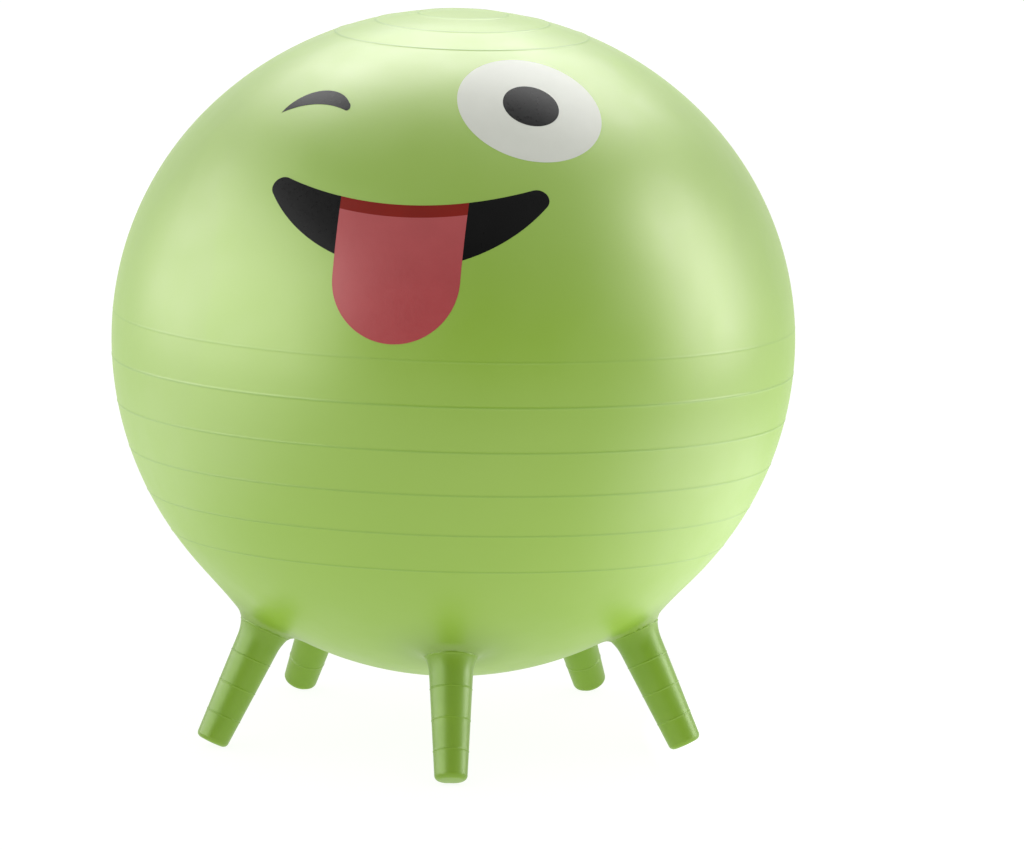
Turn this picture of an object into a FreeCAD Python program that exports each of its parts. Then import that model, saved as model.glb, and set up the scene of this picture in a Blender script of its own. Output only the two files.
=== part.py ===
import FreeCAD, Part

import math
import os

from FreeCAD import Placement, Rotation, Vector

# Sit-on exercise ball: a blown-up vinyl ball moulded in one with five hollow splayed legs.
# Lengths are in millimetres and angles in degrees. The origin is on the floor under the
# middle of the ball, +Z is up and the printed face looks towards -Y.

# Ball skin. Its section is an oval with a low crown and a deeper belly. Each half has a side
# arc about a point on the equator's plane, and a flatter arc about a point on the ring axis,
# which meets it at the shoulder angle. The soft ball settles a little aslant on its legs, so
# its ring axis leans.
ball_radius = 225.0
crown_height = 216.4
belly_depth = 222.9
shoulder_angle = 45.0
skin_thickness = 1.5
ball_centre_height = 265.3
lean_back = 4.3
lean_right = 1.15

# Fine moulded rings: an even band round the lower half and three rings round the crown.
# Band rings are placed by the angle that the skin there faces above the equator.
band_lowest_angle = -36.1
band_angle_step = 7.95
band_ring_count = 6
crown_ring_radii = [83.3, 57.2, 29.4]
ring_width = 1.8
ring_height = 0.5

# Legs, evenly spaced about an upright line, starting from the front one. The ball has settled
# a little to the right of that line. A leg's neck is a hollow curve that runs into its taper.
leg_names = ["leg_front", "leg_front_right", "leg_rear_right", "leg_rear_left", "leg_front_left"]
first_leg_azimuth = -89.0
legs_off_centre = -1.6
leg_splay = 26.3
leg_length = 82.3
root_from_axis = 127.9
root_below_centre = 188.3
leg_neck_radius = 14.4
leg_neck_depth = 11.0
leg_neck_curve = 30.0
leg_end_radius = 10.8
leg_end_rounding = 3.5
leg_end_wall = 4.0
leg_bore_top_radius = 12.3
leg_bore_end_radius = 8.2
leg_bead_spacing = 21.0
leg_bead_count = 3
leg_bead_width = 1.2
leg_bead_height = 0.45

# Drawn-out skin that joins the ball to each leg: a bell mouth about the leg's own axis, which
# curves on from the neck until it opens at the half angle.
boss_curve = 11.0
boss_half_angle = 62.0
boss_depth = 22.0

# Filling valve under the ball: a flanged collar bonded into the skin, and a push-in plug.
seat_neck_radius = 10.0
seat_depth = 14.0
seat_flange_radius = 17.0
seat_flange_thickness = 2.5
seat_bore_radius = 4.6
seat_recess_radius = 9.0
seat_recess_depth = 2.6
plug_running_clearance = 0.05
plug_gap = 0.3
plug_dome_height = 0.9
plug_dome_fullness = 0.6
plug_rim_height = 1.2
plug_stem_overhang = 3.0
plug_tip_radius = 3.4
plug_tip_length = 2.5
plug_tip_bulge = 0.2

# Printed face. Each print is a thin ink film, stamped on the ball along a line from its
# middle: azimuth from the front towards +X, and height above the ball's equator.
film = 0.25
stamp_start = 150.0
stamp_end = 262.0
eye_stamp = (19.6, 51.25)
eye_radius = 48.4
pupil_radius = 18.8
wink_stamp = (-41.3, 49.55)
mouth_stamp = (-10.6, 25.65)
lip_centre_height = 186.0
lip_radius = 169.5
chin_centre_height = 76.0
chin_radius = 103.5
mouth_corner_radius = 7.5
tongue_half_width = 42.4
tongue_round_height = -33.5
tongue_shade_height = 8.7


def unit(vector):
    return Vector(vector).normalize()


def placed(shape, placement):
    """The shape, moved and turned by a placement."""
    copy = shape.copy()
    copy.Placement = placement.multiply(copy.Placement)
    return copy


def revolved(edges):
    """A solid turned about the Y axis from a closed row of edges."""
    face = Part.Face(Part.Wire(edges))
    return face.revolve(Vector(0, 0, 0), Vector(0, 1, 0), 360)


def line(start, end):
    return Part.LineSegment(start, end).toShape()


def arc(start, middle, end):
    return Part.Arc(start, middle, end).toShape()


def arc_about(centre, radius, start, end):
    """The shorter arc of a circle between two of its points."""
    middle = centre + unit((start + end) * 0.5 - centre) * radius
    return arc(start, middle, end)


def upright():
    """Turns a shape that was drawn about +Y so that it stands about +Z, seam to the back."""
    return Placement(Vector(0, 0, 0), Rotation(Vector(0, 0, 1), 90) * Rotation(Vector(1, 0, 0), 90))


def ball_placement():
    lean = Rotation(Vector(0, 1, 0), lean_right) * Rotation(Vector(1, 0, 0), -lean_back)
    return Placement(Vector(0, 0, ball_centre_height), lean)


def leg_placement(number):
    """The middle of a leg's root plane, with the leg running down the local -Z axis."""
    azimuth = first_leg_azimuth + number * 360.0 / len(leg_names)
    turn = Rotation(Vector(0, 0, 1), azimuth)
    root = turn.multVec(Vector(root_from_axis, 0, 0))
    root += Vector(legs_off_centre, 0, ball_centre_height - root_below_centre)
    return Placement(root, turn * Rotation(Vector(0, 1, 0), -leg_splay))


def oval_bulge(half_height):
    """How much longer the flatter arc's radius is than the side arc's, in one half."""
    shoulder = math.radians(shoulder_angle)
    return (ball_radius - half_height) / (math.cos(shoulder) + math.sin(shoulder) - 1)


def far_centre(half_height):
    """How far past the ball's centre the middle of a half's flatter arc lies."""
    return oval_bulge(half_height) * math.sin(math.radians(shoulder_angle))


def section_point(angle, height=0.0):
    """A point of the ball's section, by the angle that the skin faces, raised by a height."""
    outward = Vector(math.cos(math.radians(angle)), math.sin(math.radians(angle)), 0)
    half_height = crown_height if angle > 0 else belly_depth
    if abs(angle) <= shoulder_angle:
        centre = Vector(oval_bulge(half_height) * math.cos(math.radians(shoulder_angle)), 0, 0)
        return centre + outward * (ball_radius - centre.x + height)
    centre = Vector(0, math.copysign(far_centre(half_height), -angle), 0)
    return centre + outward * (half_height + far_centre(half_height) + height)


def section_arc(low, high, height=0.0):
    """The section between two angles that lie on one of its arcs."""
    middle = section_point((low + high) / 2, height)
    return arc(section_point(low, height), middle, section_point(high, height))


def turned_ball(edges):
    """A solid ball from the edges of its section, from the foot of its axis to the head."""
    axis = line(edges[-1].Vertexes[-1].Point, edges[0].Vertexes[0].Point)
    return placed(revolved(edges + [axis]), ball_placement().multiply(upright()))


def plain_ball(offset):
    """The whole ball as a smooth solid, with its surface moved outwards by an offset."""
    stops = [-90, -shoulder_angle, 0, shoulder_angle, 90]
    edges = [section_arc(low, high, offset) for low, high in zip(stops, stops[1:])]
    return turned_ball(edges)


def ringed_ball():
    """The whole ball as a solid, with its moulded rings."""
    band = [band_lowest_angle + step * band_angle_step for step in range(band_ring_count)]
    crown_radius = crown_height + far_centre(crown_height)
    crown = [math.degrees(math.acos(radius / crown_radius)) for radius in crown_ring_radii]
    half_width = math.degrees(ring_width / 2 / ball_radius)
    edges = [section_arc(-90, -shoulder_angle)]
    for start, end in [(-shoulder_angle, 0), (0, shoulder_angle), (shoulder_angle, 90)]:
        reached = start
        for angle in [ring for ring in band + crown if start < ring < end]:
            low = angle - half_width
            high = angle + half_width
            edges.append(section_arc(reached, low))
            edges.append(arc(section_point(low), section_point(angle, ring_height), section_point(high)))
            reached = high
        edges.append(section_arc(reached, end))
    return turned_ball(edges)


def valve_face_height():
    """Height above the floor of the skin straight below the ball's centre."""
    middle = ball_placement().multVec(Vector(0, 0, far_centre(belly_depth)))
    belly_radius = belly_depth + far_centre(belly_depth)
    return middle.z - math.sqrt(belly_radius ** 2 - middle.x ** 2 - middle.y ** 2)


def neck_centre():
    """The middle of the neck's hollow curve, which ends where the leg's even taper starts."""
    taper = math.atan((leg_neck_radius - leg_end_radius) / (leg_length - leg_neck_depth))
    inwards = Vector(math.cos(taper), -math.sin(taper), 0)
    return Vector(leg_neck_radius, -leg_neck_depth, 0) + inwards * leg_neck_curve


def neck_point(depth, height=0.0):
    """A point of the neck's hollow curve, by its depth below the root plane, raised by a height."""
    centre = neck_centre()
    across = math.sqrt(leg_neck_curve ** 2 - (centre.y + depth) ** 2)
    return Vector(centre.x - across + height, -depth, 0)


def root_edge_radius():
    return neck_point(0).x


def boss(number, end_radius):
    """A solid bell mouth on a leg's axis, opening upwards from the leg's root plane."""
    root_edge = Vector(end_radius, 0, 0)
    curve_centre = root_edge + unit(neck_centre() - neck_point(0)) * boss_curve
    opening = math.radians(boss_half_angle)
    curve_end = curve_centre + Vector(-math.cos(opening), math.sin(opening), 0) * boss_curve
    wide_radius = curve_end.x + (boss_depth - curve_end.y) * math.tan(opening)
    edges = [line(Vector(0, 0, 0), root_edge)]
    edges.append(arc_about(curve_centre, boss_curve, root_edge, curve_end))
    edges.append(line(curve_end, Vector(wide_radius, boss_depth, 0)))
    edges.append(line(Vector(wide_radius, boss_depth, 0), Vector(0, boss_depth, 0)))
    edges.append(line(Vector(0, boss_depth, 0), Vector(0, 0, 0)))
    return placed(revolved(edges), leg_placement(number).multiply(upright()))


def ball_shell():
    """The skin: ball and drawn-out bosses as one hollow wall, open to each leg and the valve."""
    numbers = range(len(leg_names))
    outside = ringed_ball().fuse([boss(number, root_edge_radius()) for number in numbers])
    inside = plain_ball(-skin_thickness).fuse([boss(number, leg_bore_top_radius) for number in numbers])
    valve_hole = Part.makeCylinder(seat_neck_radius, ball_centre_height / 2)
    return outside.cut(inside).cut(valve_hole)


def leg_point(depth, height=0.0):
    """A point of a leg's even taper, by its depth below the root plane, raised by a height."""
    share = (depth - leg_neck_depth) / (leg_length - leg_neck_depth)
    return Vector(leg_neck_radius + share * (leg_end_radius - leg_neck_radius) + height, -depth, 0)


def leg_outline():
    """Outside edges of a leg's section, from the root edge down to the middle of its end."""
    neck = leg_point(leg_neck_depth)
    edges = [arc(neck_point(0), neck_point(leg_bead_width / 2, leg_bead_height), neck_point(leg_bead_width))]
    edges.append(arc(neck_point(leg_bead_width), neck_point(leg_neck_depth / 2), neck))
    reached = neck
    for count in range(1, leg_bead_count + 1):
        depth = count * leg_bead_spacing
        low = leg_point(depth - leg_bead_width / 2)
        high = leg_point(depth + leg_bead_width / 2)
        edges.append(line(reached, low))
        edges.append(arc(low, leg_point(depth, leg_bead_height), high))
        reached = high
    shoulder = leg_point(leg_length - leg_end_rounding)
    end_edge = Vector(leg_end_radius - leg_end_rounding, -leg_length, 0)
    corner = Vector(end_edge.x, shoulder.y, 0)
    edges.append(line(reached, shoulder))
    edges.append(arc_about(corner, leg_end_rounding, shoulder, end_edge))
    edges.append(line(end_edge, Vector(0, -leg_length, 0)))
    return edges


def leg(number):
    """One hollow tapered leg, closed at its foot and worn flat where it stands on the floor."""
    end_middle = Vector(0, -leg_length, 0)
    bore_end = Vector(0, -leg_length + leg_end_wall, 0)
    bore_corner = Vector(leg_bore_end_radius, bore_end.y, 0)
    bore_top = Vector(leg_bore_top_radius, 0, 0)
    edges = leg_outline()
    edges.append(line(end_middle, bore_end))
    edges.append(line(bore_end, bore_corner))
    edges.append(line(bore_corner, bore_top))
    edges.append(line(bore_top, neck_point(0)))
    solid = placed(revolved(edges), leg_placement(number).multiply(upright()))
    side = 2 * ball_radius
    below_floor = Part.makeBox(side, side, leg_length, Vector(-ball_radius, -ball_radius, -leg_length))
    return solid.cut(below_floor)


def upright_cylinder(radius, bottom, top):
    return Part.makeCylinder(radius, top - bottom, Vector(0, 0, bottom))


def valve_seat():
    """The collar: a neck that fills the hole in the skin, and a flange bonded inside it."""
    face = valve_face_height()
    top = face + seat_depth
    neck = upright_cylinder(seat_neck_radius, face - skin_thickness, top).common(plain_ball(0))
    flange_top = face + skin_thickness + seat_flange_thickness
    flange = upright_cylinder(seat_flange_radius, face, flange_top).common(plain_ball(-skin_thickness))
    bore = upright_cylinder(seat_bore_radius, face - skin_thickness, top)
    recess = upright_cylinder(seat_recess_radius, face - skin_thickness, face + seat_recess_depth)
    return neck.fuse(flange).cut(bore.fuse(recess))


def valve_plug():
    """The stopper: a low domed head in the collar's recess, and a round-tipped stem."""
    face = valve_face_height()
    head_radius = seat_recess_radius - plug_gap
    stem_radius = seat_bore_radius - plug_running_clearance
    tip_height = face + seat_depth + plug_stem_overhang
    dome = Vector(0, face - plug_dome_height, 0)
    dome_side = Vector(head_radius * plug_dome_fullness, face - plug_dome_height / 2, 0)
    rim = Vector(head_radius, face + plug_rim_height, 0)
    head_edge = Vector(head_radius, face + seat_recess_depth - plug_gap, 0)
    stem_foot = Vector(stem_radius, head_edge.y, 0)
    tip_start = Vector(stem_radius, tip_height - plug_tip_length, 0)
    tip_end = Vector(plug_tip_radius, tip_height, 0)
    tip_side = (tip_start + tip_end) * 0.5 + Vector(plug_tip_bulge, 0, 0)
    axis_end = Vector(0, tip_height, 0)
    edges = [arc(dome, dome_side, rim), line(rim, head_edge), line(head_edge, stem_foot)]
    edges += [line(stem_foot, tip_start), arc(tip_start, tip_side, tip_end)]
    edges += [line(tip_end, axis_end), line(axis_end, dome)]
    return placed(revolved(edges), upright())


def print_film(edges, stamp, layer=0):
    """An outline stamped on the ball as an ink film, on the bare skin or on another film."""
    azimuth, height = stamp
    turn = Rotation(Vector(0, 0, 1), azimuth) * Rotation(Vector(1, 0, 0), 90 - height)
    face = Part.Face(Part.Wire(edges))
    face.translate(Vector(0, 0, stamp_start))
    prism = face.extrude(Vector(0, 0, stamp_end - stamp_start))
    prism = placed(prism, ball_placement().multiply(Placement(Vector(0, 0, 0), turn)))
    return prism.common(plain_ball((layer + 1) * film)).cut(plain_ball(layer * film))


def disc_outline(radius):
    return [Part.Circle(Vector(0, 0, 0), Vector(0, 0, 1), radius).toShape()]


def wink_outline():
    """A crescent lid: pointed at the outer end, blunt at the inner end."""
    outer_tip = Vector(-22, -13, 0)
    inner_top = Vector(25, 4, 0)
    inner_bottom = Vector(27, -3.2, 0)
    edges = [arc(outer_tip, Vector(0, 10.7, 0), inner_top)]
    edges.append(arc(inner_top, Vector(28.5, -0.5, 0), inner_bottom))
    edges.append(arc(inner_bottom, Vector(4, -2.2, 0), outer_tip))
    return edges


def lip_height(across):
    """Height of the smile's upper edge at a distance across the mouth."""
    return lip_centre_height - math.sqrt(lip_radius ** 2 - across ** 2)


def chin_height(across):
    """Height of the smile's lower edge at a distance across the mouth."""
    return chin_centre_height - math.sqrt(chin_radius ** 2 - across ** 2)


def mouth_outline(side):
    """The part of the smile beside the tongue, for side -1 or +1, with a rounded corner."""
    lip_centre = Vector(0, lip_centre_height, 0)
    chin_centre = Vector(0, chin_centre_height, 0)
    gap = lip_centre_height - chin_centre_height
    to_chin = chin_radius - mouth_corner_radius
    to_lip = lip_radius + mouth_corner_radius
    rise = (to_chin ** 2 - to_lip ** 2 + gap ** 2) / (2 * gap)
    corner = Vector(side * math.sqrt(to_chin ** 2 - rise ** 2), chin_centre_height + rise, 0)
    low_inner = Vector(side * tongue_half_width, chin_height(tongue_half_width), 0)
    low_outer = chin_centre + unit(corner - chin_centre) * chin_radius
    high_outer = lip_centre + unit(corner - lip_centre) * lip_radius
    high_inner = Vector(side * tongue_half_width, lip_height(tongue_half_width), 0)
    edges = [arc_about(chin_centre, chin_radius, low_inner, low_outer)]
    edges.append(arc_about(corner, mouth_corner_radius, low_outer, high_outer))
    edges.append(arc_about(lip_centre, lip_radius, high_outer, high_inner))
    edges.append(line(high_inner, low_inner))
    return edges


def lip_arc(drop):
    """The smile's upper edge across the tongue, lowered by a drop, from left to right."""
    left = Vector(-tongue_half_width, lip_height(tongue_half_width) - drop, 0)
    right = Vector(tongue_half_width, left.y, 0)
    return arc(left, Vector(0, lip_height(0) - drop, 0), right)


def tongue_outline():
    top = lip_arc(tongue_shade_height)
    left_top, right_top = [vertex.Point for vertex in top.Vertexes]
    left = Vector(-tongue_half_width, tongue_round_height, 0)
    right = Vector(tongue_half_width, tongue_round_height, 0)
    tip = Vector(0, tongue_round_height - tongue_half_width, 0)
    return [top, line(right_top, right), arc(right, tip, left), line(left, left_top)]


def tongue_shade_outline():
    """The band of shade that the upper lip throws on the tongue."""
    top = lip_arc(0)
    bottom = lip_arc(tongue_shade_height)
    left_top, right_top = [vertex.Point for vertex in top.Vertexes]
    left_low, right_low = [vertex.Point for vertex in bottom.Vertexes]
    return [top, line(right_top, right_low), bottom, line(left_low, left_top)]


def all_nodes():
    nodes = {"ball_shell": ball_shell()}
    for number, name in enumerate(leg_names):
        nodes[name] = leg(number)
    nodes["valve_seat"] = valve_seat()
    nodes["valve_plug"] = valve_plug()
    nodes["eye_white"] = print_film(disc_outline(eye_radius), eye_stamp)
    nodes["eye_pupil"] = print_film(disc_outline(pupil_radius), eye_stamp, 1)
    nodes["wink_lid"] = print_film(wink_outline(), wink_stamp)
    nodes["mouth_left"] = print_film(mouth_outline(-1), mouth_stamp)
    nodes["mouth_right"] = print_film(mouth_outline(1), mouth_stamp)
    nodes["tongue"] = print_film(tongue_outline(), mouth_stamp)
    nodes["tongue_shade"] = print_film(tongue_shade_outline(), mouth_stamp)
    return nodes


os.makedirs("parts", exist_ok=True)
for name, shape in all_nodes().items():
    box = shape.BoundBox
    print(name, "solids", len(shape.Solids), "valid", shape.isValid(), "volume", round(shape.Volume, 1))
    print("   x", round(box.XMin, 2), round(box.XMax, 2), "y", round(box.YMin, 2), round(box.YMax, 2))
    print("   z", round(box.ZMin, 2), round(box.ZMax, 2))
    shape.exportStep("parts/" + name + ".step")
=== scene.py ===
import math

import bpy
from mathutils import Matrix, Vector


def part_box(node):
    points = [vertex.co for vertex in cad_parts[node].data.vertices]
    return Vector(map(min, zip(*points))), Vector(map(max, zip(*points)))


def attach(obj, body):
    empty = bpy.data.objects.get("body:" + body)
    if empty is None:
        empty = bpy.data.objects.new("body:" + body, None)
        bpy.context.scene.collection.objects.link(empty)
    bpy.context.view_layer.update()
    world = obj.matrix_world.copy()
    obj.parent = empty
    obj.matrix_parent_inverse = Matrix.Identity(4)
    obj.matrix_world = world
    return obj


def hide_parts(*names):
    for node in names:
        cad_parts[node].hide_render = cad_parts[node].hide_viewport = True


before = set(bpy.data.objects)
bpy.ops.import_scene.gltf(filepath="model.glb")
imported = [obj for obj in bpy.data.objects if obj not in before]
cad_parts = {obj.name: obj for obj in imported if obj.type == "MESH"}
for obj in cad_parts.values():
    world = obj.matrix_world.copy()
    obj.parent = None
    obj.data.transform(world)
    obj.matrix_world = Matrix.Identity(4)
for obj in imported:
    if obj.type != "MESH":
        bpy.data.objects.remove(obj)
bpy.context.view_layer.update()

# Sit-on exercise ball on five moulded legs. Metres and degrees, origin on the floor.
speck = 0.001  # size of the plane that shrinks to a line's first point
turnWeld = 0.000005  # points closer than this are one
stripWeld = 0.00001
crease = math.radians(40)  # edges that turn more than this stay sharp


def clearSelection():
    bpy.ops.object.select_all(action="DESELECT")


def startEdit(piece, pick="SELECT"):
    clearSelection()
    bpy.context.view_layer.objects.active = piece
    piece.select_set(True)
    bpy.ops.object.mode_set(mode="EDIT")
    bpy.ops.mesh.select_all(action=pick)


def endEdit():
    bpy.ops.object.mode_set(mode="OBJECT")


def drawLines(name, lines):
    # each line is one vertex, extruded from point to point
    clearSelection()
    bpy.ops.mesh.primitive_plane_add(size=speck, location=(0, 0, 0))
    piece = bpy.context.object
    piece.name = name
    piece.data.name = name
    bpy.ops.object.mode_set(mode="EDIT")
    bpy.ops.mesh.delete(type="VERT")
    for points in lines:
        bpy.ops.mesh.select_all(action="DESELECT")
        bpy.ops.mesh.primitive_plane_add(size=speck, location=points[0])
        bpy.ops.mesh.merge(type="CENTER")
        for start, end in zip(points, points[1:]):
            bpy.ops.mesh.extrude_vertices_move(TRANSFORM_OT_translate={"value": end - start})
    bpy.ops.mesh.select_all(action="SELECT")
    return piece  # still in edit mode, all selected


def turnOutline(name, outline, steps):
    # spins a half section round Z into a closed piece
    piece = drawLines(name, [outline])
    bpy.ops.mesh.spin(steps=steps, angle=2 * math.pi, center=(0, 0, 0), axis=(0, 0, 1))
    bpy.ops.mesh.select_all(action="SELECT")
    bpy.ops.mesh.remove_doubles(threshold=turnWeld)
    bpy.ops.mesh.normals_make_consistent(inside=False)
    endEdit()
    bpy.ops.object.shade_smooth()
    return piece


def putInPlace(piece, place):
    # moves a piece to its place and leaves its object at the origin
    piece.matrix_world = place
    clearSelection()
    bpy.context.view_layer.objects.active = piece
    piece.select_set(True)
    bpy.ops.object.transform_apply(location=True, rotation=True, scale=True)


def finishPiece(piece, material, body, slotName, *cadNodes):
    piece.data.materials.clear()
    piece.data.materials.append(material)
    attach(piece, body)
    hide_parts(*cadNodes)


def polar(angle, length=1.0):
    # a point of a section, by its angle above the horizontal
    return Vector((math.cos(math.radians(angle)) * length, 0, math.sin(math.radians(angle)) * length))


def newMaterial(name):
    material = bpy.data.materials.new(name)
    material.use_nodes = True
    nodes = material.node_tree.nodes
    shader = nodes.get("Principled BSDF")
    place = nodes.new("ShaderNodeTexCoord")
    return material, nodes, material.node_tree.links, shader, place.outputs["Object"]


def addNoise(nodes, links, place, scale, detail=3.0, roughness=0.55):
    noise = nodes.new("ShaderNodeTexNoise")
    noise.inputs["Scale"].default_value = scale
    noise.inputs["Detail"].default_value = detail
    noise.inputs["Roughness"].default_value = roughness
    links.new(place, noise.inputs["Vector"])
    return noise.outputs["Fac"]


def addRange(nodes, links, value, low, high, fromLow=0.3, fromHigh=0.7):
    mapRange = nodes.new("ShaderNodeMapRange")
    mapRange.inputs["From Min"].default_value = fromLow
    mapRange.inputs["From Max"].default_value = fromHigh
    mapRange.inputs["To Min"].default_value = low
    mapRange.inputs["To Max"].default_value = high
    links.new(value, mapRange.inputs["Value"])
    return mapRange.outputs["Result"]


def addMix(nodes, links, share, first, second):
    # first and second are colours or the outputs of other nodes
    mix = nodes.new("ShaderNodeMix")
    mix.data_type = "RGBA"
    links.new(share, mix.inputs["Factor"])
    for socket, colour in ((mix.inputs["A"], first), (mix.inputs["B"], second)):
        if isinstance(colour, bpy.types.NodeSocket):
            links.new(colour, socket)
        else:
            socket.default_value = (*colour, 1)
    return mix.outputs["Result"]


def addGrain(nodes, links, shader, place, layers):
    # fine texture in stacked layers, each a noise scale, a strength and a depth
    normal = None
    for scale, strength, depth in layers:
        bump = nodes.new("ShaderNodeBump")
        bump.inputs["Strength"].default_value = strength
        bump.inputs["Distance"].default_value = depth
        links.new(addNoise(nodes, links, place, scale, 2), bump.inputs["Height"])
        if normal is not None:
            links.new(normal, bump.inputs["Normal"])
        normal = bump.outputs["Normal"]
    links.new(normal, shader.inputs["Normal"])


def addSurface(nodes, links, shader, place, look, roughness):
    # shine that wanders between two values of roughness, and the grain
    wear = addRange(nodes, links, addNoise(nodes, links, place, look["wear"]), *roughness)
    links.new(wear, shader.inputs["Roughness"])
    addGrain(nodes, links, shader, place, look["grain"])


vinyl = {
    "stretched": (0.272, 0.490, 0.018),  # thin skin of the blown-up ball
    "stretchedPale": (0.290, 0.505, 0.028),
    "relaxed": (0.225, 0.400, 0.018),  # thicker skin of the legs
    "relaxedDeep": (0.200, 0.370, 0.014),
    "ringShade": (0.200, 0.410, 0.008),  # painted shade along the moulded rings, darker where they stand out
    "white": (0.70, 0.71, 0.66),
    "sheen": (1.0, 0.85, 1.0),
}
# cloud and wear are noise scales, of the colour and of the shine
ballLook = {
    "cloud": 7, "wear": 30, "roughness": (0.38, 0.45), "gloss": 1.80,
    "grain": ((60, 0.10, 0.0006), (700, 0.22, 0.00012)),
}
legLook = {
    "cloud": 30, "wear": 60, "roughness": (0.34, 0.42), "gloss": 1.5,
    "grain": ((900, 0.2, 0.0001),),
}
valveLook = {
    "cloud": 120, "wear": 200, "roughness": (0.30, 0.42), "dulling": 0.86,
    "grain": ((1500, 0.15, 0.0001),),
}
inkLook = {
    "cloud": 45, "cloudDetail": 4, "cloudSpan": (0.35, 0.75), "wear": 400, "roughnessSpread": (-0.04, 0.05),
    "grain": ((60, 0.10, 0.0006), (700, 0.3, 0.00012)),
}
inks = {  # fresh colour, worn colour, roughness, gloss
    "whiteInk": ((0.70, 0.72, 0.64), (0.67, 0.69, 0.61), 0.38, 1.45),
    "blackInk": ((0.003, 0.003, 0.003), (0.0045, 0.0046, 0.0044), 0.30, 1.23),
    "tongueInk": ((0.46, 0.058, 0.062), (0.43, 0.052, 0.056), 0.36, 1.55),
    "shadeInk": ((0.25, 0.009, 0.002), (0.22, 0.008, 0.002), 0.38, 1.27),
}


def ballVinyl():
    material, nodes, links, shader, place = newMaterial("ballVinyl")
    cloud = addRange(nodes, links, addNoise(nodes, links, place, ballLook["cloud"]), 0, 1)
    # near the leg roots the skin deepens towards the legs' colour: partly the thicker vinyl there, partly
    # painted shade
    pullAndShade = nodes.new("ShaderNodeAttribute")
    pullAndShade.attribute_name = "legPullAndShade"
    blown = addMix(nodes, links, cloud, vinyl["stretched"], vinyl["stretchedPale"])
    drawnAndShaded = addMix(nodes, links, pullAndShade.outputs["Fac"], blown, vinyl["relaxedDeep"])
    # painted shade along the moulded rings, darkest where a ring stands out highest
    ring = nodes.new("ShaderNodeAttribute")
    ring.attribute_name = "ringShadeMark"
    colour = addMix(nodes, links, ring.outputs["Fac"], drawnAndShaded, vinyl["ringShade"])
    links.new(colour, shader.inputs["Base Color"])
    shader.inputs["IOR"].default_value = ballLook["gloss"]
    shader.inputs["Specular Tint"].default_value = (*vinyl["sheen"], 1)
    addSurface(nodes, links, shader, place, ballLook, ballLook["roughness"])
    return material


def legVinyl():
    material, nodes, links, shader, place = newMaterial("legVinyl")
    cloud = addRange(nodes, links, addNoise(nodes, links, place, legLook["cloud"]), 0, 1)
    colour = addMix(nodes, links, cloud, vinyl["relaxed"], vinyl["relaxedDeep"])
    links.new(colour, shader.inputs["Base Color"])
    shader.inputs["IOR"].default_value = legLook["gloss"]
    addSurface(nodes, links, shader, place, legLook, legLook["roughness"])
    return material


def valveVinyl(name, colour):
    material, nodes, links, shader, place = newMaterial(name)
    cloud = addRange(nodes, links, addNoise(nodes, links, place, valveLook["cloud"]), 0, 1)
    dull = tuple(channel * valveLook["dulling"] for channel in colour)
    links.new(addMix(nodes, links, cloud, colour, dull), shader.inputs["Base Color"])
    addSurface(nodes, links, shader, place, valveLook, valveLook["roughness"])
    return material


def printInk(name, fresh, worn, roughness, gloss):
    # ink lies in the skin's own fine grain, a little thinner in places
    material, nodes, links, shader, place = newMaterial(name)
    noise = addNoise(nodes, links, place, inkLook["cloud"], inkLook["cloudDetail"])
    cloud = addRange(nodes, links, noise, 0, 1, *inkLook["cloudSpan"])
    links.new(addMix(nodes, links, cloud, fresh, worn), shader.inputs["Base Color"])
    shader.inputs["IOR"].default_value = gloss
    span = [roughness + spread for spread in inkLook["roughnessSpread"]]
    addSurface(nodes, links, shader, place, inkLook, span)
    return material


ballSkinFinish = ballVinyl()
legFinish = legVinyl()
collarFinish = valveVinyl("collarVinyl", vinyl["relaxed"])
stopperFinish = valveVinyl("stopperVinyl", vinyl["white"])
whiteInk, blackInk, tongueInk, shadeInk = [printInk(name, *look) for name, look in inks.items()]
print("materials ready")


ball = {
    "radius": 0.225, "crownHeight": 0.2164, "bellyDepth": 0.2229, "shoulder": 45,
    "centreHeight": 0.2653, "leanBack": 4.3, "leanRight": 1.15,
    "bandLowest": -36.1, "bandStep": 7.95, "bandRings": 6, "crownRings": (0.0833, 0.0572, 0.0294),
    "ringWidth": 0.0026, "ringHeight": 0.00030, "bandRingHeight": 0.00024, "topBandHeight": 0.00012,
    "ringClear": 1.8, "columns": 320, "row": 1.25, "legRow": 0.55, "legRows": (-80, -40),
}
ridgeReach = 1.3  # a ridge's outermost points, in half widths
ballCentre = Vector((0, 0, ball["centreHeight"]))
leanRight = Matrix.Rotation(math.radians(ball["leanRight"]), 4, "Y")
lean = leanRight @ Matrix.Rotation(math.radians(-ball["leanBack"]), 4, "X")
ballPlace = Matrix.Translation(ballCentre) @ lean


def ridgeSteps(width, height):
    # places across a moulded ring or bead, and how far it stands out there
    for share in (-ridgeReach, -1, -0.7, -0.35, 0, 0.35, 0.7, 1, ridgeReach):
        yield share * width / 2, height * (0.5 + 0.5 * math.cos(math.pi * min(1, abs(share))))


def sectionArcs(upper):
    # offset of the arcs' middles from the ball's centre, and both radii, for one half
    turn = math.radians(ball["shoulder"])
    height = ball["crownHeight"] if upper else ball["bellyDepth"]
    offset = (ball["radius"] - height) * math.cos(turn) / (math.cos(turn) + math.sin(turn) - 1)
    return offset, ball["radius"] - offset, height + offset


def sectionPoint(angle, height=0.0):
    # a point of the ball's section, by the angle that the skin faces above the equator
    offset, sideRadius, flatRadius = sectionArcs(angle > 0)
    if abs(angle) <= ball["shoulder"]:
        return Vector((offset, 0, 0)) + polar(angle, sideRadius + height)
    return Vector((0, 0, math.copysign(offset, -angle))) + polar(angle, flatRadius + height)


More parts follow.
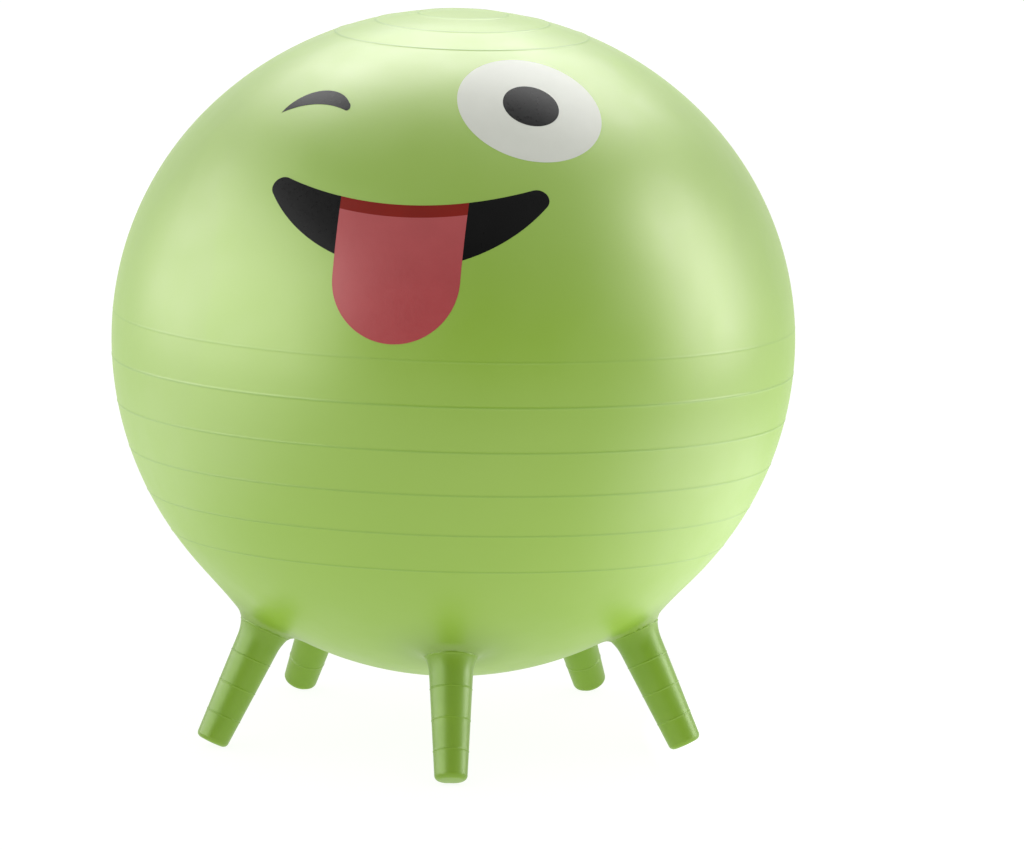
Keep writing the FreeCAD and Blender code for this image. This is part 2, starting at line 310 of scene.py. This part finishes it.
def skinHeight(point):
    # how far a point of the ball's own frame stands off the skin
    offset, sideRadius, flatRadius = sectionArcs(point.z > 0)
    across = math.hypot(point.x, point.y)
    if abs(point.z) <= across - offset:
        return math.hypot(across - offset, point.z) - sideRadius
    return math.hypot(across, abs(point.z) + offset) - flatRadius


def skinOutline():
    band = [ball["bandLowest"] + count * ball["bandStep"] for count in range(ball["bandRings"])]
    crown = [math.degrees(math.acos(radius / sectionArcs(True)[2])) for radius in ball["crownRings"]]
    width = math.degrees(ball["ringWidth"] / ball["radius"])
    stops = []
    angle = -90.0
    while angle < 90:
        if all(abs(angle - ring) > ball["ringClear"] * width / 2 for ring in band + crown):
            stops.append((angle, 0.0))
        low, high = ball["legRows"]
        angle += ball["legRow"] if low <= angle < high else ball["row"]
    rises = [ball["bandRingHeight"]] * (len(band) - 1) + [ball["topBandHeight"]]
    rises += [ball["ringHeight"]] * len(crown)
    for ring, rise in zip(band + crown, rises):
        for offset, height in ridgeSteps(width, rise):
            stops.append((ring + offset, height))
    stops.append((90.0, 0.0))
    return [sectionPoint(angle, height) for angle, height in sorted(stops)]


legs = {
    "names": ("leg_front", "leg_front_right", "leg_rear_right", "leg_rear_left", "leg_front_left"),
    "firstAzimuth": -89, "offCentre": -0.0016, "splay": 26.3, "length": 0.0823,
    "rootOut": 0.1279, "rootBelow": 0.1883,
    "neckRadius": 0.0144, "neckDepth": 0.011, "neckCurve": 0.030, "endRadius": 0.0108,
    "endRounding": 0.0035, "endDome": 0.0004, "domeShoulder": (0.5, 0.8), "beadSpacing": 0.021, "beads": 3,
    "beadWidth": 0.0015, "beadHeight": 0.00026, "rootBeadHeight": 0.00034, "columns": 80,
    "neckPoints": 12, "taperPoints": 4, "roundingPoints": 8, "hiddenTop": 0.003,
    "flareCurve": 0.011, "flareOpening": 62, "flareBlend": 0.005, "flareReach": 0.075, "flareAbove": 0.1,
    "flareDeepest": 0.001, "deepToneAndShadeReach": 0.040, "deepToneAndShade": 0.9,
}
legTaper = math.atan((legs["neckRadius"] - legs["endRadius"]) / (legs["length"] - legs["neckDepth"]))
neckCentre = Vector((legs["neckRadius"], 0, -legs["neckDepth"]))
neckCentre += polar(-math.degrees(legTaper), legs["neckCurve"])
rootOpening = math.asin(-neckCentre.z / legs["neckCurve"])  # how far the neck has opened at the root
rootRadius = neckCentre.x - legs["neckCurve"] * math.cos(rootOpening)


def legPlace(number):
    azimuth = math.radians(legs["firstAzimuth"] + number * 360 / len(legs["names"]))
    turn = Matrix.Rotation(azimuth, 4, "Z")
    root = turn @ Vector((legs["rootOut"], 0, 0))
    root += Vector((legs["offCentre"], 0, ball["centreHeight"] - legs["rootBelow"]))
    return Matrix.Translation(root) @ turn @ Matrix.Rotation(math.radians(-legs["splay"]), 4, "Y")


def flareRise(beyond):
    # how far the bell mouth has risen above the root, by the distance out from the root's edge
    opening = math.radians(legs["flareOpening"])
    curve = legs["flareCurve"]
    if beyond <= 0:
        return beyond / math.tan(rootOpening)
    curveEnd = curve * (math.cos(rootOpening) - math.cos(opening))
    if beyond < curveEnd:
        return curve * (math.sin(math.acos(math.cos(rootOpening) - beyond / curve)) - math.sin(rootOpening))
    return curve * (math.sin(opening) - math.sin(rootOpening)) + (beyond - curveEnd) / math.tan(opening)


def smoothMax(first, second, width):
    share = max(width - abs(first - second), 0) / width
    return max(first, second) + share * share * width / 4


def drawOutSkin(skin):
    # pulls the skin out into a shallow cone round each leg, and notes how near a leg it is; that note deepens
    # the skin's colour near the roots, partly as thicker vinyl and partly as painted shade
    pullAndShade = skin.data.attributes.new("legPullAndShade", "FLOAT", "POINT")
    places = [legPlace(number) for number in range(len(legs["names"]))]
    returns = [place.inverted() for place in places]
    for vertex in skin.data.vertices:
        for place, back in zip(places, returns):
            near = back @ vertex.co
            across = math.hypot(near.x, near.y)
            if across > legs["flareReach"] or near.z > legs["flareAbove"]:
                continue
            beyond = across - rootRadius
            depth = smoothMax(-near.z, -flareRise(beyond), legs["flareBlend"])
            depth = min(depth, legs["flareDeepest"])
            vertex.co = place @ Vector((near.x, near.y, -depth))
            # deeper colour near each root: partly the thicker vinyl, partly painted shade
            share = max(0.0, 1 - max(0.0, beyond) / legs["deepToneAndShadeReach"])
            pullAndShade.data[vertex.index].value = share * share * legs["deepToneAndShade"]


def makeBallSkin():
    skin = turnOutline("ballSkin", skinOutline(), ball["columns"])
    # how far each point stands out on a moulded ring, the mask for painted shade along the rings
    ringShadeMarks = skin.data.attributes.new("ringShadeMark", "FLOAT", "POINT")
    for vertex in skin.data.vertices:
        ringShadeMarks.data[vertex.index].value = max(0.0, skinHeight(vertex.co)) / ball["ringHeight"]
    putInPlace(skin, ballPlace)
    drawOutSkin(skin)
    return skin


ballSkin = makeBallSkin()
print("ball skin", len(ballSkin.data.polygons), "faces")


def legSide(depth, height=0.0):
    # a point of the leg's outside by its depth below the root: concave neck, then even taper
    if depth > legs["neckDepth"]:
        across = legs["neckRadius"] - (depth - legs["neckDepth"]) * math.tan(legTaper)
    else:
        across = neckCentre.x - math.sqrt(legs["neckCurve"] ** 2 - (depth + neckCentre.z) ** 2)
    return Vector((across + height, 0, -depth))


def legOutline():
    # from the middle of the hidden top, down the outside, to the middle of the foot
    top = legs["hiddenTop"]
    points = [Vector((0, 0, top)), Vector((rootRadius - top, 0, top))]
    beadReach = ridgeReach * legs["beadWidth"] / 2
    taperPoints = legs["taperPoints"]
    for count in range(legs["beads"] + 1):
        middle = count * legs["beadSpacing"]
        if count:
            beadStart = middle - beadReach
            plain = legs["neckPoints"] if count == 1 else taperPoints
            points += [legSide(reached + (beadStart - reached) * step / plain) for step in range(1, plain)]
        beadHeight = legs["beadHeight"] if count else legs["rootBeadHeight"]
        for offset, height in ridgeSteps(legs["beadWidth"], beadHeight):
            points.append(legSide(middle + offset, height))
        reached = middle + beadReach
    shoulder = legs["length"] - legs["endRounding"]
    points += [legSide(reached + (shoulder - reached) * step / taperPoints) for step in range(1, taperPoints)]
    corner = legSide(shoulder, -legs["endRounding"])
    rounding = legs["roundingPoints"]
    points += [corner + polar(-90 * step / rounding, legs["endRounding"]) for step in range(rounding + 1)]
    outward, downward = legs["domeShoulder"]
    points.append(Vector((corner.x * outward, 0, -legs["length"] - legs["endDome"] * downward)))
    points.append(Vector((0, 0, -legs["length"] - legs["endDome"])))
    return points


def standOnFloor(piece):
    # the soft foot lies flat where it meets the floor
    startEdit(piece, "DESELECT")
    endEdit()
    for vertex in piece.data.vertices:
        vertex.select = vertex.co.z < 0
    bpy.ops.object.mode_set(mode="EDIT")
    bpy.ops.transform.resize(value=(1, 1, 0), center_override=(0, 0, 0))
    endEdit()


firstLeg = turnOutline("legPattern", legOutline(), legs["columns"])
for number, legName in enumerate(legs["names"]):
    leg = firstLeg.copy()
    leg.data = firstLeg.data.copy()
    leg.name = legName.replace("leg_", "vinylLeg_")
    bpy.context.collection.objects.link(leg)
    putInPlace(leg, legPlace(number))
    standOnFloor(leg)
    finishPiece(leg, legFinish, "ball", "leg_vinyl", legName)
bpy.data.objects.remove(firstLeg)
print("five legs")


valve = {
    "lipRadius": 0.0128, "lipRise": 0.0004, "lipFoot": 0.0002, "lipEdge": 0.0008, "lipRoot": 0.002,
    "lipStart": 0.15, "lipSpan": 0.7, "lipPoints": 6,
    "neckRadius": 0.0100, "recessRadius": 0.0090, "recessDepth": 0.0026, "recessMouth": 0.0004,
    "boreRadius": 0.0046, "pocketDepth": 0.020, "bevel": 0.0003,
    "headRadius": 0.0086, "headRise": 0.0009, "headRim": 0.0012, "headEdge": 0.0004, "gap": 0.0003,
    "headPoints": 12, "markPlace": 0.62, "markWidth": 0.12, "markHeight": 0.00025,
    "stemRadius": 0.00455, "stemTip": 0.0034, "stemTipLength": 0.0025, "tipPoints": 6, "columns": 72,
}
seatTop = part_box("valve_seat")[1].z
plugLow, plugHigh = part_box("valve_plug")
valveFace = plugLow.z + valve["headRise"]


def cutPocket(skin):
    # the hole in the skin that the valve's collar fills
    clearSelection()
    depth = valve["pocketDepth"] * 2
    bpy.ops.mesh.primitive_cylinder_add(
        vertices=valve["columns"], radius=valve["neckRadius"], depth=depth, location=(0, 0, valveFace)
    )
    cutter = bpy.context.object
    cut = skin.modifiers.new("pocket", "BOOLEAN")
    cut.operation = "DIFFERENCE"
    cut.object = cutter
    clearSelection()
    bpy.context.view_layer.objects.active = skin
    skin.select_set(True)
    bpy.ops.object.modifier_apply(modifier=cut.name)
    bpy.data.objects.remove(cutter)


def seatOutline():
    # a rounded lip on the skin, the recess, and the bore up into the ball
    v = valve
    bevel, mouth = v["bevel"], v["recessMouth"]
    recessTop = valveFace + v["recessDepth"]
    points = [Vector((v["boreRadius"], 0, seatTop)), Vector((v["neckRadius"], 0, seatTop))]
    points.append(Vector((v["neckRadius"], 0, valveFace + v["lipRoot"])))
    points.append(Vector((v["lipRadius"], 0, valveFace + v["lipEdge"])))
    for step in range(v["lipPoints"] + 1):
        share = step / v["lipPoints"]
        along = v["lipRadius"] + (v["recessRadius"] + mouth - v["lipRadius"]) * share
        rise = v["lipRise"] * math.sin(math.pi * (v["lipStart"] + v["lipSpan"] * share))
        points.append(Vector((along, 0, valveFace + v["lipFoot"] - rise)))
    points.append(Vector((v["recessRadius"], 0, valveFace + mouth)))
    points.append(Vector((v["recessRadius"], 0, recessTop - bevel)))
    points.append(Vector((v["recessRadius"] - bevel, 0, recessTop)))
    points.append(Vector((v["boreRadius"] + bevel, 0, recessTop)))
    points.append(Vector((v["boreRadius"], 0, recessTop + bevel)))
    points.append(points[0].copy())
    return points


def plugOutline():
    # a low domed head with a raised ring, and a stem with a rounded tip
    v = valve
    points = []
    for step in range(v["headPoints"] + 1):
        share = step / v["headPoints"]
        rise = v["headRise"] - (v["headRise"] + v["headRim"] - v["headEdge"]) * share ** 3
        mark = v["markHeight"] * max(0.0, 1 - abs(share - v["markPlace"]) / v["markWidth"])
        points.append(Vector((share * (v["headRadius"] - v["bevel"]), 0, valveFace - rise - mark)))
    points.append(Vector((v["headRadius"], 0, valveFace + v["headRim"])))
    headTop = valveFace + v["recessDepth"] - v["gap"]
    points.append(Vector((v["headRadius"], 0, headTop - v["bevel"])))
    points.append(Vector((v["headRadius"] - v["bevel"], 0, headTop)))
    points.append(Vector((v["stemRadius"], 0, headTop)))
    tipBase = plugHigh.z - v["stemTipLength"]
    points.append(Vector((v["stemRadius"], 0, tipBase)))
    for step in range(1, v["tipPoints"] + 1):
        share = step / v["tipPoints"]
        across = v["stemRadius"] - (v["stemRadius"] - v["stemTip"]) * share ** 2
        points.append(Vector((across, 0, tipBase + v["stemTipLength"] * share)))
    points.append(Vector((0, 0, plugHigh.z)))
    return points


cutPocket(ballSkin)
finishPiece(ballSkin, ballSkinFinish, "ball", "ball_skin", "ball_shell")
valveCollar = turnOutline("valveCollar", seatOutline(), valve["columns"])
finishPiece(valveCollar, collarFinish, "ball", "valve_collar", "valve_seat")
valveStopper = turnOutline("valveStopper", plugOutline(), valve["columns"])
finishPiece(valveStopper, stopperFinish, "stopper", "valve_stopper", "valve_plug")
for piece in (valveCollar, valveStopper):
    clearSelection()
    piece.select_set(True)
    bpy.context.view_layer.objects.active = piece
    bpy.ops.object.shade_smooth_by_angle(angle=crease)
print("valve")


face = {
    "film": 0.00012, "sunk": 0.00030, "pressTries": 12,
    "eyeStamp": (19.6, 51.25), "eyeRadius": 0.0484, "pupilRadius": 0.0188,
    "eyeColumns": 112, "pupilColumns": 80,
    "winkStamp": (-41.3, 49.55), "mouthStamp": (-10.6, 25.65),
    "lipCentre": 0.186, "lipRadius": 0.1695, "chinCentre": 0.076, "chinRadius": 0.1035,
    "cornerRadius": 0.0075, "tongueHalfWidth": 0.0424, "tongueRound": -0.0335, "tongueShade": 0.0087,
    "lipPoints": 24, "cornerPoints": 10, "mouthCuts": 10, "tongueSidePoints": 12, "tongueTipPoints": 24,
    "tongueCuts": 22, "shadePoints": 40, "shadeCuts": 3,
    "winkSidePoints": 30, "winkEndPoints": 5, "winkCuts": 6,
}
winkPoints = {  # across and up from the middle of its stamp, round the crescent from its sharp tip
    "tip": (-0.022, -0.013), "top": (0, 0.0107),
    "shoulder": (0.025, 0.004), "shoulderBend": (0.0272, 0.0022), "end": (0.0285, -0.0005),
    "heelBend": (0.0283, -0.0021), "heel": (0.027, -0.0032), "under": (0.004, -0.0022),
}


def pressOnBall(piece, stamp, layer=0):
    # carries a flat shape along the stamp's line onto the ball, and gives it thickness
    azimuth, height = stamp
    turn = Matrix.Rotation(math.radians(azimuth), 3, "Z")
    turn = turn @ Matrix.Rotation(math.radians(90 - height), 3, "X")
    towards = turn @ Vector((0, 0, 1))
    wanted = face["film"] * (layer + 1)
    for vertex in piece.data.vertices:
        start = turn @ vertex.co
        out = ball["radius"]
        for attempt in range(face["pressTries"]):
            out -= skinHeight(start + towards * out) - wanted
        vertex.co = start + towards * out
    piece.data.update()
    if piece.data.polygons[0].normal.dot(towards) < 0:
        startEdit(piece)
        bpy.ops.mesh.flip_normals()
        endEdit()
    putInPlace(piece, ballPlace)
    wall = piece.modifiers.new("ink", "SOLIDIFY")
    wall.thickness = face["sunk"] + face["film"] * layer
    wall.offset = -1
    bpy.ops.object.modifier_apply(modifier=wall.name)
    bpy.ops.object.shade_smooth_by_angle(angle=crease)


def makeDisc(name, radius, columns):
    clearSelection()
    bpy.ops.mesh.primitive_circle_add(vertices=columns, radius=radius, location=(0, 0, 0))
    disc = bpy.context.object
    disc.name = name
    disc.data.name = name
    startEdit(disc)
    bpy.ops.mesh.fill_grid(span=columns // 4)
    endEdit()
    return disc


def makeStrip(name, firstLine, secondLine, cuts):
    # the sheet between two edges that are drawn from point to point
    strip = drawLines(name, [firstLine, secondLine])
    bpy.ops.mesh.bridge_edge_loops(number_cuts=cuts, interpolation="LINEAR")
    bpy.ops.mesh.select_all(action="SELECT")
    bpy.ops.mesh.remove_doubles(threshold=stripWeld)
    endEdit()
    return strip


def flatPoint(across, up):
    return Vector((across, up, 0))


def arcRow(centre, radius, start, end, count):
    # count + 1 points along an arc, by angles in degrees
    row = []
    for step in range(count + 1):
        angle = math.radians(start + (end - start) * step / count)
        row.append(centre + flatPoint(math.cos(angle), math.sin(angle)) * radius)
    return row


def angleTo(centre, point):
    return math.degrees(math.atan2(point.y - centre.y, point.x - centre.x))


def lipPoint(across, drop=0.0):
    return flatPoint(across, face["lipCentre"] - math.sqrt(face["lipRadius"] ** 2 - across ** 2) - drop)


def chinPoint(across):
    return flatPoint(across, face["chinCentre"] - math.sqrt(face["chinRadius"] ** 2 - across ** 2))


def mouthEdges(side):
    # lip and chin edges of one side of the smile, meeting at its rounded corner
    f = face
    lipCentre = flatPoint(0, f["lipCentre"])
    chinCentre = flatPoint(0, f["chinCentre"])
    gap = f["lipCentre"] - f["chinCentre"]
    toChin = f["chinRadius"] - f["cornerRadius"]
    toLip = f["lipRadius"] + f["cornerRadius"]
    rise = (toChin ** 2 - toLip ** 2 + gap ** 2) / (2 * gap)
    corner = flatPoint(math.sqrt(toChin ** 2 - rise ** 2), f["chinCentre"] + rise)
    lipEnd = lipCentre + (corner - lipCentre).normalized() * f["lipRadius"]
    chinEnd = chinCentre + (corner - chinCentre).normalized() * f["chinRadius"]
    chinTurn = angleTo(corner, chinEnd)
    lipTurn = angleTo(corner, lipEnd)
    if lipTurn < chinTurn:
        lipTurn += 360
    middleTurn = (chinTurn + lipTurn) / 2
    half = f["tongueHalfWidth"]
    chinStart = angleTo(chinCentre, chinPoint(half))
    lipStart = angleTo(lipCentre, lipPoint(half))
    chin = arcRow(chinCentre, f["chinRadius"], chinStart, angleTo(chinCentre, chinEnd), f["lipPoints"])
    chin += arcRow(corner, f["cornerRadius"], chinTurn, middleTurn, f["cornerPoints"])[1:]
    lip = arcRow(lipCentre, f["lipRadius"], lipStart, angleTo(lipCentre, lipEnd), f["lipPoints"])
    lip += arcRow(corner, f["cornerRadius"], lipTurn, middleTurn, f["cornerPoints"])[1:]
    return [[flatPoint(point.x * side, point.y) for point in edge] for edge in (lip, chin)]


def tongueEdges():
    # left and right edges, from under the lip's shade to the tip
    half = face["tongueHalfWidth"]
    low = face["tongueRound"]
    top = lipPoint(half, face["tongueShade"]).y
    count = face["tongueSidePoints"]
    right = [flatPoint(half, top + (low - top) * step / count) for step in range(count)]
    right += arcRow(flatPoint(0, low), half, 0, -90, face["tongueTipPoints"])
    return [[flatPoint(-point.x, point.y) for point in right], right]


def bowTop(tongue):
    # the tongue's upper rows follow the curve of the lip, easing off below
    half = face["tongueHalfWidth"]
    top = lipPoint(half, face["tongueShade"]).y
    low = face["tongueRound"]
    for vertex in tongue.data.vertices:
        share = max(0.0, (vertex.co.y - low) / (top - low))
        bow = lipPoint(half).y - lipPoint(vertex.co.x).y
        vertex.co.y -= bow * share


def threePointRow(start, middle, end, count):
    # count + 1 points along the arc through three points
    a, b = middle - start, end - start
    d = 2 * (a.x * b.y - a.y * b.x)
    centre = start + flatPoint((b.y * a.length_squared - a.y * b.length_squared) / d,
                               (a.x * b.length_squared - b.x * a.length_squared) / d)
    first, last = angleTo(centre, start), angleTo(centre, end)
    if (last - first) % 360 > 180:
        last = first - (first - last) % 360
    else:
        last = first + (last - first) % 360
    return arcRow(centre, (start - centre).length, first, last, count)


def winkEdges():
    # upper and lower edges of the crescent, from the sharp outer tip to the blunt inner end
    at = {name: flatPoint(*place) for name, place in winkPoints.items()}
    sideCount, endCount = face["winkSidePoints"], face["winkEndPoints"]
    upper = threePointRow(at["tip"], at["top"], at["shoulder"], sideCount)
    upper += threePointRow(at["shoulder"], at["shoulderBend"], at["end"], endCount)[1:]
    lower = threePointRow(at["tip"], at["under"], at["heel"], sideCount)
    lower += threePointRow(at["heel"], at["heelBend"], at["end"], endCount)[1:]
    return [upper, lower]


def shadeEdges():
    # the dark band under the lip, where the tongue comes out
    half = face["tongueHalfWidth"]
    count = face["shadePoints"]
    columns = [half * (2 * step / count - 1) for step in range(count + 1)]
    lip = [lipPoint(across) for across in columns]
    below = [lipPoint(across, face["tongueShade"]) for across in columns]
    return [lip, below]


eyeWhite = makeDisc("eyeWhite", face["eyeRadius"], face["eyeColumns"])
pressOnBall(eyeWhite, face["eyeStamp"])
finishPiece(eyeWhite, whiteInk, "ball", "white_ink", "eye_white")
eyePupil = makeDisc("eyePupil", face["pupilRadius"], face["pupilColumns"])
pressOnBall(eyePupil, face["eyeStamp"], layer=1)
finishPiece(eyePupil, blackInk, "ball", "black_ink", "eye_pupil")
winkLid = makeStrip("winkLid", *winkEdges(), face["winkCuts"])
pressOnBall(winkLid, face["winkStamp"])
finishPiece(winkLid, blackInk, "ball", "black_ink", "wink_lid")
for side, pieceName, nodeName in ((-1, "mouthLeft", "mouth_left"), (1, "mouthRight", "mouth_right")):
    mouth = makeStrip(pieceName, *mouthEdges(side), face["mouthCuts"])
    pressOnBall(mouth, face["mouthStamp"])
    finishPiece(mouth, blackInk, "ball", "black_ink", nodeName)
tongue = makeStrip("tongue", *tongueEdges(), face["tongueCuts"])
bowTop(tongue)
pressOnBall(tongue, face["mouthStamp"])
finishPiece(tongue, tongueInk, "ball", "tongue_ink", "tongue")
tongueShade = makeStrip("tongueShade", *shadeEdges(), face["shadeCuts"])
pressOnBall(tongueShade, face["mouthStamp"])
finishPiece(tongueShade, shadeInk, "ball", "shade_ink", "tongue_shade")
print("printed face")


studio = {
    "elevation": 12.0, "roll": 0.53, "distance": 20.0, "frameWidth": 0.6739,
    "aimFrom": (0, 0, 0.264), "aimRight": 0.0386, "aimDown": 0.0564, "sensor": 36.0,
    "tent": ((0.04, 0.10), (0.25, 0.62), (0.60, 0.70), (0.95, 1.15)),  # place front to back, brightness
    "boxPower": 4,  # watts for each square metre at a brightness of 1
    "clip": (1.0, 200.0), "floorSize": 60.0, "floorCloud": 3, "floorColour": 0.20, "floorDulling": 0.98,
    "floorGlow": 0.90, "frontGlow": 0.66, "frontReach": (-1.6, -0.6),
}
floorPatches = {  # middle, brightness, how far it stays bright, where it has gone
    "leftPatch": ((-0.90, 0.0, 0.0), 1.9, 0.35, 0.90),
    "rightPatch": ((0.60, 0.0, 0.0), 2.9, 0.15, 0.62),
}
softBoxes = {  # direction from the ball, distance, width, height, brightness, what it lights
    "leftBox": ((-0.97, -0.12, 0.16), 2.2, 3.8, 2.6, 2.7, "gloss"),
    "rightBox": ((0.98, 0.10, 0.22), 2.2, 1.2, 2.3, 4.6, "gloss"),
    "topBox": ((0.05, 0.615, 0.79), 2.2, 2.8, 1.5, 4.2, "gloss"),
    "frontFill": ((0.0, -0.80, 0.60), 2.2, 3.0, 2.4, 0.35, "colour"),
}


def makeFloor():
    clearSelection()
    bpy.ops.mesh.primitive_plane_add(size=studio["floorSize"], location=(0, 0, 0))
    floor = bpy.context.object
    floor.name = "floor"
    material, nodes, links, shader, place = newMaterial("paleFloor")
    cloud = addRange(nodes, links, addNoise(nodes, links, place, studio["floorCloud"]), 0, 1)
    grey = studio["floorColour"]
    dull = grey * studio["floorDulling"]
    links.new(addMix(nodes, links, cloud, (grey,) * 3, (dull,) * 3), shader.inputs["Base Color"])
    # the floor's own glow: brightest on both sides of the ball, and dimmer far out in front
    axes = nodes.new("ShaderNodeSeparateXYZ")
    links.new(place, axes.inputs["Vector"])
    dim, full = studio["frontGlow"], studio["floorGlow"]
    glow = addRange(nodes, links, axes.outputs["Y"], dim, full, *studio["frontReach"])
    for middle, brightness, *reach in floorPatches.values():
        away = nodes.new("ShaderNodeVectorMath")
        away.operation = "DISTANCE"
        away.inputs[1].default_value = middle
        links.new(place, away.inputs[0])
        patch = addRange(nodes, links, away.outputs["Value"], brightness, 0, *reach)
        brighter = nodes.new("ShaderNodeMath")
        brighter.operation = "MAXIMUM"
        links.new(glow, brighter.inputs[0])
        links.new(patch, brighter.inputs[1])
        glow = brighter.outputs["Value"]
    links.new(glow, shader.inputs["Emission Strength"])
    shader.inputs["Emission Color"].default_value = (1, 1, 1, 1)
    shader.inputs["Roughness"].default_value = 1.0
    shader.inputs["Specular IOR Level"].default_value = 0.0
    # clear from below, so the underside and the valve can be looked at
    side = nodes.new("ShaderNodeNewGeometry")
    clear = nodes.new("ShaderNodeBsdfTransparent")
    oneSided = nodes.new("ShaderNodeMixShader")
    links.new(side.outputs["Backfacing"], oneSided.inputs["Fac"])
    links.new(shader.outputs["BSDF"], oneSided.inputs[1])
    links.new(clear.outputs["BSDF"], oneSided.inputs[2])
    links.new(oneSided.outputs["Shader"], nodes["Material Output"].inputs["Surface"])
    floor.data.materials.append(material)


def makeTent():
    # white light all round, dark in front and brighter towards the back
    world = bpy.data.worlds.new("lightTent")
    bpy.context.scene.world = world
    world.use_nodes = True
    nodes, links = world.node_tree.nodes, world.node_tree.links
    place = nodes.new("ShaderNodeTexCoord")
    axes = nodes.new("ShaderNodeSeparateXYZ")
    frontToBack = nodes.new("ShaderNodeMapRange")
    frontToBack.inputs["From Min"].default_value = -1
    ramp = nodes.new("ShaderNodeValToRGB")
    ramp.color_ramp.interpolation = "EASE"
    stops = ramp.color_ramp.elements
    while len(stops) < len(studio["tent"]):
        stops.new(1)
    for stop, (position, brightness) in zip(stops, studio["tent"]):
        stop.position = position
        stop.color = (brightness, brightness, brightness, 1)
    links.new(place.outputs["Object"], axes.inputs["Vector"])
    links.new(axes.outputs["Y"], frontToBack.inputs["Value"])
    links.new(frontToBack.outputs["Result"], ramp.inputs["Fac"])
    links.new(ramp.outputs["Color"], nodes["Background"].inputs["Color"])
    nodes["Background"].inputs["Strength"].default_value = 1


def addSoftBox(name, direction, distance, width, height, brightness, lights):
    towards = Vector(direction).normalized()
    bpy.ops.object.light_add(type="AREA", location=ballCentre + towards * distance)
    light = bpy.context.object
    light.name = name
    light.data.shape = "RECTANGLE"
    light.data.size, light.data.size_y = width, height
    light.data.energy = brightness * studio["boxPower"] * width * height
    light.rotation_euler = (-towards).to_track_quat("-Z", "Y").to_euler()
    light.visible_camera = False
    light.visible_diffuse = lights == "colour"  # gloss boxes make the shine, the fill only the colour
    light.visible_glossy = lights == "gloss"


def makeCamera():
    elevation = math.radians(studio["elevation"])
    forward = Vector((0, math.cos(elevation), -math.sin(elevation)))
    level, above = Vector((1, 0, 0)), Vector((0, math.sin(elevation), math.cos(elevation)))
    roll = math.radians(studio["roll"])
    right = level * math.cos(roll) + above * math.sin(roll)
    up = above * math.cos(roll) - level * math.sin(roll)
    aim = Vector(studio["aimFrom"]) + right * studio["aimRight"] - up * studio["aimDown"]
    place = aim - forward * studio["distance"]
    lens = bpy.data.cameras.new("camera")
    lens.sensor_width = studio["sensor"]
    lens.lens = studio["sensor"] * studio["distance"] / studio["frameWidth"]
    lens.clip_start, lens.clip_end = studio["clip"]
    camera = bpy.data.objects.new("camera", lens)
    bpy.context.collection.objects.link(camera)
    turn = Matrix((right, up, -forward)).transposed().to_4x4()
    camera.matrix_world = Matrix.Translation(place) @ turn
    bpy.context.scene.camera = camera


makeFloor()
makeTent()
for name, setting in softBoxes.items():
    addSoftBox(name, *setting)
makeCamera()
bpy.context.scene.view_settings.view_transform = "Standard"
print("studio")
